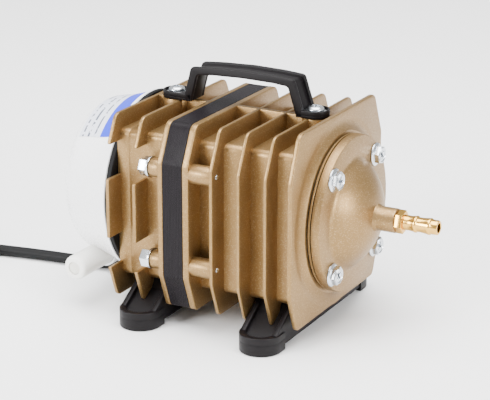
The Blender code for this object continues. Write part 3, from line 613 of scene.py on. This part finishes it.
def makeRearCasing(facts):
    back = facts["rearFins"][1][0]
    shapes = [
        flatShape("X", -62.0, facts["rearFlange"][1] - 0.4, [bodyOutline(facts), circleOutline(40.0)], 0.2, 1),
        flatShape("X", back, -62.0, [bodyOutline(facts), circleOutline(8.3, count=24)], 0.2, 1),
    ]
    shapes.append(flatShape("X", *facts["rearFlange"], [finOutline(facts), circleOutline(41.0)], 0.5))
    for span in facts["rearFins"]:
        hole = circleOutline(41.0) if span[0] > -62 else circleOutline(9.0, count=24)
        shapes.append(flatShape("X", *span, [finOutline(facts, notched=True), hole], 0.5))
    rib = roundCorners([(-1.75, 110.0, 0), (1.75, 110.0, 0), (1.75, 124.3, 0.6), (-1.75, 124.3, 0.6)], 2)
    shapes.append(flatShape("X", back + 0.5, facts["rearFlange"][1] - 0.5, [rib], 0.2, 1))
    shapes.append(roundBar("Z", 110.0, 124.35, 8.0, (facts["ears"][1], 0), 0.6))
    for place in boltPlaces(facts):
        shapes.append(roundBar("X", -41.5, facts["rearFlange"][0] + 1, 5.5, place, 0.5))
    return standFor(pieceOf("rearCasing", shapes, castGold), "cast_gold", "rear_casing")


makeFrontCasing(casingFacts)
makeRearCasing(casingFacts)
print("casings ready")


statorFacts = {"start": -31.8, "sheets": 25, "pitch": 0.51, "thick": 0.47}


# A tree that takes a piece's mesh, its own numbers and a finish, and gives a mesh back.
def newGrowTree(name, numbers):
    tree = bpy.data.node_groups.new(name, "GeometryNodeTree")
    for label, kind in {"Geometry": "Geometry", **numbers, "Finish": "Material"}.items():
        tree.interface.new_socket(label, in_out="INPUT", socket_type="NodeSocket" + kind)
    tree.interface.new_socket("Geometry", in_out="OUTPUT", socket_type="NodeSocketGeometry")
    return tree


# Copies one sheet along X, one pitch apart.
def stackTree():
    tree = newGrowTree("sheetStack", {"Sheets": "Int", "Pitch": "Float"})
    given = addNode(tree, "NodeGroupInput")
    step = addNode(tree, "ShaderNodeCombineXYZ", X=(given, "Pitch"))
    line = addNode(tree, "GeometryNodeMeshLine", {"mode": "OFFSET"}, Count=(given, "Sheets"), Offset=(step, "Vector"))
    copies = addNode(tree, "GeometryNodeInstanceOnPoints", Points=(line, "Mesh"), Instance=(given, "Geometry"))
    solid = addNode(tree, "GeometryNodeRealizeInstances", Geometry=(copies, "Instances"))
    finished = addNode(tree, "GeometryNodeSetMaterial", Geometry=(solid, "Geometry"), Material=(given, "Finish"))
    addNode(tree, "NodeGroupOutput", Geometry=(finished, "Geometry"))
    return tree


# Four copies of a part at the corners of a rectangle across the pump's axis.
def gridTree():
    tree = newGrowTree("fourFasteners", {"Width": "Float", "Height": "Float", "Turn": "Float", "Seed": "Int"})
    given = addNode(tree, "NodeGroupInput")
    grid = addNode(tree, "GeometryNodeMeshGrid", Size_X=(given, "Height"), Size_Y=(given, "Width"))
    grid.inputs["Vertices X"].default_value = 2
    grid.inputs["Vertices Y"].default_value = 2
    turn = addNode(tree, "ShaderNodeCombineXYZ", Y=math.pi / 2)
    upright = addNode(tree, "GeometryNodeTransform", Geometry=(grid, "Mesh"), Rotation=(turn, "Vector"))
    roll = addNode(tree, "ShaderNodeCombineXYZ", X=(given, "Turn"))
    rolled = addNode(tree, "GeometryNodeTransform", Geometry=(upright, "Geometry"), Rotation=(roll, "Vector"))
    rolled.inputs["Translation"].default_value = (0, 0, axisHeight * millimetre)
    chance = addNode(tree, "FunctionNodeRandomValue", {"data_type": "FLOAT"}, Seed=(given, "Seed"))
    chance.inputs["Max"].default_value = 2 * math.pi
    spin = addNode(tree, "ShaderNodeCombineXYZ", X=(chance, 1))
    copies = addNode(
        tree,
        "GeometryNodeInstanceOnPoints",
        Points=(rolled, "Geometry"),
        Instance=(given, "Geometry"),
        Rotation=(spin, "Vector"),
    )
    solid = addNode(tree, "GeometryNodeRealizeInstances", Geometry=(copies, "Instances"))
    finished = addNode(tree, "GeometryNodeSetMaterial", Geometry=(solid, "Geometry"), Material=(given, "Finish"))
    addNode(tree, "NodeGroupOutput", Geometry=(finished, "Geometry"))
    return tree


# Runs a tree on a piece, with its named inputs, and keeps the result as the piece's plain mesh.
def grown(piece, tree, values):
    modifier = piece.modifiers.new("grow", "NODES")
    modifier.node_group = tree
    for item in tree.interface.items_tree:
        if item.in_out == "INPUT" and item.name in values:
            modifier[item.identifier] = values[item.name]
    bpy.context.view_layer.update()
    graph = bpy.context.evaluated_depsgraph_get()
    mesh = bpy.data.meshes.new_from_object(piece.evaluated_get(graph))
    piece.modifiers.remove(modifier)
    piece.data = mesh
    mesh.shade_smooth()
    mesh.set_sharp_from_angle(angle=math.radians(32))
    return piece


def makeStator(facts, casing):
    start = facts["start"]
    inner = finOutline(casing)
    shrunk = [(y * 0.998, axisHeight + (z - axisHeight) * 0.998) for y, z in inner]
    window = [(-38, 35.4), (-12, 35.4), (-12, 52.2), (12, 52.2), (12, 35.4), (38, 35.4)]
    window += [(38, 103.4), (12, 103.4), (12, 86.6), (-12, 86.6), (-12, 103.4), (-38, 103.4)]
    sheet = pieceOf("statorStack", [flatShape("X", start, start + facts["thick"], [shrunk, window], 0.05, 0)], lamination)
    values = {"Sheets": facts["sheets"], "Pitch": facts["pitch"] * millimetre, "Finish": lamination}
    stack = grown(sheet, stackTree(), values)
    return standFor(stack, "black_lamination", "stator_core")


makeStator(statorFacts, casingFacts)
print("stator ready")


domeFacts = {"face": 61.1, "back": 55.8, "radius": 46.3, "ball": 41.0, "apex": 77.0, "neck": 7.15, "neckEnd": 88.7}


def makeDome(facts):
    face, radius = facts["face"], facts["radius"]
    profile = [(facts["back"], 28.0), (facts["back"], radius - 0.3), (facts["back"] + 0.3, radius)]
    profile += [(face - 0.9, radius), (face - 0.25, radius - 0.3), (face, radius - 1.0), (face, 34.2)]
    profile += [(face + 0.15, 33.1), (face + 0.6, 32.2)]
    centre = facts["apex"] - facts["ball"]
    for step in range(22):
        angle = math.radians(50.5 - step * 1.86)
        profile.append((centre + facts["ball"] * math.cos(angle), facts["ball"] * math.sin(angle)))
    profile += [(76.9, 7.9), (77.6, 7.35), (78.4, facts["neck"])]
    end = facts["neckEnd"]
    profile += [(end - 0.5, facts["neck"]), (end - 0.15, facts["neck"] - 0.15), (end, facts["neck"] - 0.5), (end, 4.5)]
    profile.append((74.0, 4.5))
    for step in range(8):
        angle = math.radians(10 + step * 4.9)
        profile.append((centre + 37.5 * math.cos(angle), 37.5 * math.sin(angle)))
    shapes = [turnedShape("X", profile, sides=112)]
    return standFor(pieceOf("domeCover", shapes, castGold, 40), "cast_gold", "dome_cover")


def washerRing(start, end, outer, inner, edge=0.15, centre=axisCentre, sides=96):
    profile = [(start, inner), (start, outer - edge), (start + edge, outer), (end - edge, outer), (end, outer - edge), (end, inner)]
    return turnedShape("X", profile, centre, sides)


def makeSeals():
    plate = pieceOf("valvePlate", [washerRing(54.0, 55.15, 46.2, 12.0), washerRing(54.02, 55.1, 12.5, 10.0)], castGold)
    core = washerRing(54.05, 55.1, 10.2, 2.3)
    bm = bmesh.new()
    bm.from_mesh(plate.data)
    bm.from_mesh(core)
    bm.to_mesh(plate.data)
    bm.free()
    standFor(plate, "cast_gold", "valve_plate")
    first = pieceOf("cylinderGasket", [washerRing(53.25, 53.95, 45.5, 17.0)], finishes["sealRubber"])
    standFor(first, "black_rubber", "cylinder_gasket")
    second = pieceOf("domeGasket", [washerRing(55.2, 55.75, 45.5, 29.0)], finishes["sealRubber"])
    standFor(second, "black_rubber", "dome_gasket")


def hexOutline(acrossFlats):
    radius = acrossFlats / math.sqrt(3)
    return [(radius * math.cos(k * math.pi / 3), radius * math.sin(k * math.pi / 3)) for k in range(6)]


# Outline of a cross, for the dark recess of a cross-head screw.
def crossRecess(width, long):
    w, a = width / 2, long / 2
    return [(a, -w), (a, w), (w, w), (w, a), (-w, a), (-w, w), (-a, w), (-a, -w), (-w, -w), (-w, -a), (w, -a), (w, -w)]


screwFacts = {"spread": 56.56, "flange": 6.9, "flats": 9.6, "seat": 61.25}


def makeDomeScrews(facts):
    seat = facts["seat"]
    flange = [(seat, 0), (seat, facts["flange"] - 0.3), (seat + 0.2, facts["flange"]), (seat + 0.7, facts["flange"] - 0.1)]
    flange += [(seat + 1.6, 5.4), (seat + 1.8, 0)]
    shapes = [turnedShape("X", flange, (0, 0), 40, closed=False)]
    hexagon = flatShape("X", seat + 1.0, seat + 4.35, [hexOutline(facts["flats"]), crossRecess(1.3, 5.4)], 0.25, 2)
    floor = flatShape("X", seat + 1.0, seat + 2.2, [crossRecess(1.5, 5.6)], 0.05, 0)
    lip = turnedShape("X", [(seat + 3.9, 3.6), (seat + 4.35, 4.75), (seat + 4.75, 4.55), (seat + 4.8, 4.1), (seat + 4.4, 3.6)], (0, 0), 40)
    shank = roundBar("X", 45.0, seat + 1.0, 3.0, (0, 0), 0.3, 20)
    piece = pieceOf("domeScrews", [*shapes, hexagon, floor, lip, shank], finishes["brightZincPlate"])
    size = facts["spread"] * millimetre
    values = {"Width": size, "Height": size, "Turn": 0.0, "Seed": 4, "Finish": finishes["brightZincPlate"]}
    grown(piece, fastenerTree, values)
    return standFor(piece, "zinc", *[f"dome_screw_{k}" for k in range(1, 5)])


def makeCasingBolts(casing):
    y, z = casing["bolts"]
    head = flatShape("X", -48.3, -43.0, [hexOutline(10.0)], 0.35, 2)
    washer = turnedShape("X", [(-42.9, 0), (-42.9, 6.1), (-42.7, 6.35), (-42.0, 6.4), (-41.7, 6.2), (-41.7, 0)], (0, 0), 40, False)
    shank = roundBar("X", -42.0, -7.0, 3.0, (0, 0), 0.3, 20)
    tip = roundBar("X", -0.5, 1.0, 1.5, (0, 0), 0.4, 16)  # the point shows through the first fin
    piece = pieceOf("casingBolts", [head, washer, shank, tip], finishes["brightZincPlate"])
    values = {"Width": 2 * y * millimetre, "Height": 2 * z * millimetre, "Turn": 0.0, "Seed": 9}
    values["Finish"] = finishes["brightZincPlate"]
    grown(piece, fastenerTree, values)
    return standFor(piece, "zinc", *[f"casing_bolt_{k}" for k in range(1, 5)])


def makeCapScrews():
    head = [(-112.7, 0), (-112.7, 4.1), (-113.2, 3.9), (-113.8, 3.2), (-114.1, 2.2), (-114.1, 0)]
    shapes = [turnedShape("X", head, (0, 0), 32, closed=False), roundBar("X", -112.8, -66.0, 2.0, (0, 0), 0.3, 16)]
    piece = pieceOf("capScrews", shapes, finishes["brightZincPlate"])
    size = 60.0 / math.sqrt(2) * millimetre
    values = {"Width": size, "Height": size, "Turn": math.pi / 4, "Seed": 2, "Finish": finishes["brightZincPlate"]}
    grown(piece, fastenerTree, values)
    return standFor(piece, "zinc", *[f"cap_screw_{k}" for k in range(1, 5)])


barbFacts = {"tip": 114.1, "bore": 2.8, "ridges": (100.4, 108.8)}


def makeBarb(facts):
    profile = [(80.0, facts["bore"]), (80.0, 4.2), (93.0, 4.2), (93.05, 4.4), (95.6, 4.4)]
    previous = 95.6
    for crest in facts["ridges"]:  # each ridge slopes up from the tip side and drops behind
        for k in range(1, 7):
            share = k / 6
            profile.append((previous + (crest - previous) * share, 4.3 + 0.65 * share**2))
        profile += [(crest + 0.5, 4.9), (crest + 0.9, 4.6), (crest + 1.2, 4.3)]
        previous = crest + 1.6
    profile += [(facts["tip"] - 0.8, 4.3), (facts["tip"] - 0.2, 4.1), (facts["tip"], 3.8), (facts["tip"], 3.0)]
    profile.append((facts["tip"] - 0.3, facts["bore"]))
    stem = turnedShape("X", profile, sides=48)
    turned = math.radians(12)
    corners = [
        (y * math.cos(turned) - z * math.sin(turned), axisHeight + y * math.sin(turned) + z * math.cos(turned))
        for y, z in hexOutline(12.0)
    ]
    hexagon = flatShape("X", 88.85, 93.2, [corners, circleOutline(4.0, count=32)], 0.4, 2)
    piece = pieceOf("outletBarb", [stem, hexagon], finishes["turnedBrass"])
    return standFor(piece, "brass", "outlet_barb")


fastenerTree = gridTree()
makeDome(domeFacts)
makeSeals()
makeDomeScrews(screwFacts)
makeCasingBolts(casingFacts)
makeCapScrews()
makeBarb(barbFacts)
print("air end ready")


handleFacts = {"half": 8.25, "rail": 2.9, "base": 124.7, "sink": 1.3, "earTop": 129.0, "earRadius": 8.25}


def strapOutline(sink):
    outer = [(31.0 - sink, 125.2, 0), (30.9 - sink, 129.2, 1.0), (25.2 - sink, 146.3 - sink, 2.6), (12.0, 147.3 - sink, 60.0)]
    outer += [(-8.0, 147.75 - sink, 60.0), (-28.0, 147.0 - sink, 60.0), (-42.2 + sink, 145.8 - sink, 2.6)]
    outer += [(-46.4 + sink, 129.2, 1.0), (-46.5 + sink, 125.2, 0)]
    inner = [(-42.4, 125.2, 0), (-38.2, 141.3, 2.2), (-28.0, 142.4, 60.0), (-8.0, 143.1, 60.0), (12.0, 142.7, 60.0)]
    inner += [(21.5, 141.9, 2.2), (27.0, 125.2, 0)]
    return roundCorners(outer + inner, 3)


def makeHandle(facts, ears):
    half, rail = facts["half"], facts["rail"]
    shapes = [flatShape("Y", -half + rail - 0.5, half - rail + 0.5, [strapOutline(facts["sink"])], 0.3, 1)]
    for low, high in ((-half, -half + rail), (half - rail, half)):
        shapes.append(flatShape("Y", low, high, [strapOutline(0)], 0.6, 2))
    for ear, inner in ((ears[0], 27.0), (ears[1], -42.4)):
        direction = 1 if ear > inner else -1
        arc = []
        for k in range(17):
            angle = math.radians(-90 + 180 * k / 16)
            arc.append((ear + direction * half * math.cos(angle), half * math.sin(angle)))
        outline = [(inner, -half), *arc, (inner, half)]
        shapes.append(flatShape("Z", facts["base"], 127.05, [outline, circleOutline(3.0, (ear, 0), 24)], 0.35, 1))
        shapes.append(flatShape("Z", 126.0, facts["earTop"], [outline, circleOutline(6.9, (ear, 0), 40)], 0.45, 2))
    piece = pieceOf("carryHandle", shapes, finishes["mouldedBlackNylon"])
    return standFor(piece, "black_plastic", "handle")


def makeHandleScrews(ears):
    shapes = []
    for x in ears:
        shapes.append(turnedShape("Z", [(127.1, 0), (127.1, 6.2), (127.3, 6.4), (127.8, 6.4), (127.9, 6.1), (127.9, 0)], (x, 0), 40, False))
        spring = [(127.9, 0), (127.9, 4.9), (128.6, 4.9), (128.6, 0)]
        shapes.append(turnedShape("Z", spring, (x, 0), 40, False))
        head = [(128.6, 0), (128.6, 4.6), (128.9, 4.95), (129.6, 4.7), (130.3, 3.9), (130.75, 2.6)]
        disc = turnedShape("Z", [*head, (130.75, 2.4), (130.0, 2.3), (129.9, 0)], (x, 0), 40, False)
        quarters = []
        for a, b in ((1, 1), (1, -1), (-1, 1), (-1, -1)):
            wedge = [(x + a * 0.75, b * 0.75), (x + a * 2.4, b * 0.75), (x + a * 0.75, b * 2.4)]
            quarters.append(flatShape("Z", 129.6, 130.7, [wedge], 0.05, 0))
        shapes += [disc, *quarters, roundBar("Z", 115.0, 128.6, 2.5, (x, 0), 0.3, 20)]
    piece = pieceOf("handleScrews", shapes, finishes["brightZincPlate"])
    return standFor(piece, "zinc", "handle_screw_1", "handle_screw_2")


makeHandle(handleFacts, casingFacts["ears"])
makeHandleScrews(casingFacts["ears"])
print("handle ready")


footFacts = {"front": 30.8, "rear": -49.1, "padY": 57.4, "padRadius": 12.6, "padTop": 11.0, "top": 24.1, "wall": 3.2}


def arcPoints(centre, radius, start, end, count=24):
    angles = [math.radians(start + (end - start) * k / count) for k in range(count + 1)]
    return [(centre[0] + radius * math.cos(a), centre[1] + radius * math.sin(a)) for a in angles]


def makeFoot(name, node, x, facts):
    top, wall, radius = facts["top"], facts["wall"], facts["padRadius"]
    shoulder = [(-60.5, 2.5, 0), (60.5, 2.5, 0), (60.5, 11.0, 1.0), (39.0, top, 1.0), (-39.0, top, 1.0), (-60.5, 11.0, 1.0)]
    floor = [(-61.5, 2.5, 0), (61.5, 2.5, 0), (61.5, 7.4, 1.0), (43.0, 18.0, 3.0), (39.0, 24.0, 0), (-39.0, 24.0, 0)]
    floor += [(-43.0, 18.0, 3.0), (-61.5, 7.4, 1.0)]
    half = radius - 0.8
    shapes = [flatShape("X", x - half + wall - 0.4, x + half - wall + 0.4, [roundCorners(floor, 3)], 0.1, 0)]
    for low, high in ((x - half, x - half + wall), (x + half - wall, x + half)):
        shapes.append(flatShape("X", low, high, [roundCorners(shoulder, 3)], 0.5, 2))
    for side in (-1, 1):
        centre = (x, side * facts["padY"])
        outer = arcPoints(centre, radius, 0, 180 * side)
        disc = [*outer, (x - radius, centre[1] - side * 6.0), (x + radius, centre[1] - side * 6.0)]
        shapes.append(flatShape("Z", 0.02, 7.4, [disc], 0.5, 2))
        inner = arcPoints(centre, radius - wall - 0.6, 180 * side, 0)
        rim = [*outer, (x - radius, centre[1] - side * 6.0), (x - radius + wall, centre[1] - side * 6.0), *inner]
        rim += [(x + radius - wall, centre[1] - side * 6.0), (x + radius, centre[1] - side * 6.0)]
        shapes.append(flatShape("Z", 6.0, facts["padTop"], [rim], 0.5, 2))
    return standFor(pieceOf(name, shapes, finishes["mouldedBlackNylon"]), "black_plastic", node)


makeFoot("frontFoot", "foot_front", footFacts["front"], footFacts)
makeFoot("rearFoot", "foot_rear", footFacts["rear"], footFacts)
print("feet ready")


capFacts = {
    "skin": ((-73.9, 55.2), (-80.0, 53.4), (-88.0, 50.9), (-97.0, 49.0), (-104.0, 47.2), (-108.6, 43.8)),
    "round": ((-111.6, 39.0), (-112.6, 33.0)),
    "wall": 2.4,
    "inlet": (-97.0, 25.4),
}


def smoothSkin(points, perSpan=5):
    flat = [(*point, 0.0) for point in points]
    return [point[:2] for point in smoothPath(flat, perSpan)]


def makeCap(facts):
    outer = smoothSkin([*facts["skin"], *facts["round"]])
    inner = [(along + (1.6 if along < -105 else 0.0), radius - facts["wall"]) for along, radius in outer]
    profile = [(-112.6, 0), *reversed(outer), *inner, (-110.2, 0)]
    shapes = [turnedShape("X", profile, sides=112, closed=False)]
    rim = [(-76.6, 53.0), (-76.6, 54.9), (-76.2, 55.6), (-74.2, 55.9), (-73.8, 55.4), (-73.8, 53.0)]
    shapes.append(turnedShape("X", rim, sides=112))
    shapes.append(blockShape((-86.0, 4.0, 13.3), (-75.0, 16.0, 22.0), 0.8))
    x, z = facts["inlet"]
    collar = [(-22.0, 7.7), (-22.0, 9.0), (-12.0, 9.0), (-12.0, 7.7)]
    shapes.append(turnedShape("Y", collar, (x, z), 40))
    piece = pieceOf("rearCap", shapes, finishes["mouldedWhiteAbs"], 40)
    standFor(piece, "white_plastic", "rear_cap")
    ring = [(-73.5, 47.6), (-73.5, 55.7), (-73.2, 56.1), (-70.8, 56.1), (-70.5, 55.7), (-70.5, 47.6)]
    seal = pieceOf("capSeal", [turnedShape("X", ring, sides=96)], finishes["sealRubber"])
    standFor(seal, "black_rubber", "cap_gasket")


def makeInlet(facts):
    pipe = [(-55.0, 4.0), (-55.0, 5.2), (-54.8, 6.1), (-54.2, 6.9), (-53.2, 7.4), (-52.0, 7.5), (-10.0, 7.5), (-10.0, 5.0)]
    pipe += [(-51.0, 5.0), (-51.0, 4.0)]
    piece = pieceOf("inletPipe", [turnedShape("Y", pipe, facts["inlet"], 48)], finishes["naturalPolypropylene"], 40)
    standFor(piece, "cream_plastic", "inlet_pipe")
    plug = [(-54.6, 0), (-54.6, 3.0), (-54.2, 3.8), (-50.7, 3.9), (-50.7, 4.7), (-34.0, 4.7), (-34.0, 0)]
    foam = pieceOf("inletFilter", [turnedShape("Y", plug, facts["inlet"], 32, closed=False)], finishes["openCellFoam"])
    standFor(foam, "white_foam", "inlet_filter")


def makeLabel(facts):
    skin = smoothSkin(facts["skin"])
    kept = [(along, radius + 0.12) for along, radius in skin if -104.4 < along < -77.0]
    profile = [*kept, *[(along, radius + 0.2) for along, radius in reversed(kept)]]
    sticker = turnedShape("X", profile, sides=60, sweep=97.0, start=40.0)
    standFor(pieceOf("ratingLabel", [sticker], labelFilm, 40), "paper_label", "rating_label")


makeCap(capFacts)
makeInlet(capFacts)
makeLabel(capFacts)
print("rear end ready")


innerFinishes = {
    "groundSteel": ("cylinder_liner", "discharge_stop", "piston_rod", "armature", "suction_stop", "return_spring"),
    "springSteelStrip": ("discharge_valve", "suction_valve"),
    "machinedAluminium": ("piston_head",),
    "bronzeFilledPtfe": ("piston_ring",),
    "sinteredBronze": ("guide_bush",),
    "enamelledCopper": ("coil_1", "coil_2"),
    "mouldedWhiteAbs": ("coil_bobbin_1", "coil_bobbin_2", "terminal_block"),
    "mouldedBlackNylon": ("rectifier",),
    "brightZincPlate": ("foot_screw_1", "foot_screw_2", "foot_screw_3", "foot_screw_4"),
}


def finishInnerParts(table):
    for finishName, names in table.items():
        for name in names:
            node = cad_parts[name]
            node.data.materials.clear()
            node.data.materials.append(finishes[finishName])


finishInnerParts(innerFinishes)
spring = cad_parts["return_spring"]
softSpring = bpy.data.objects.new("returnSpring", spring.data.copy())
bpy.context.scene.collection.objects.link(softSpring)
standFor(softSpring, "steel", "return_spring")
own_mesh(softSpring)

print("done")
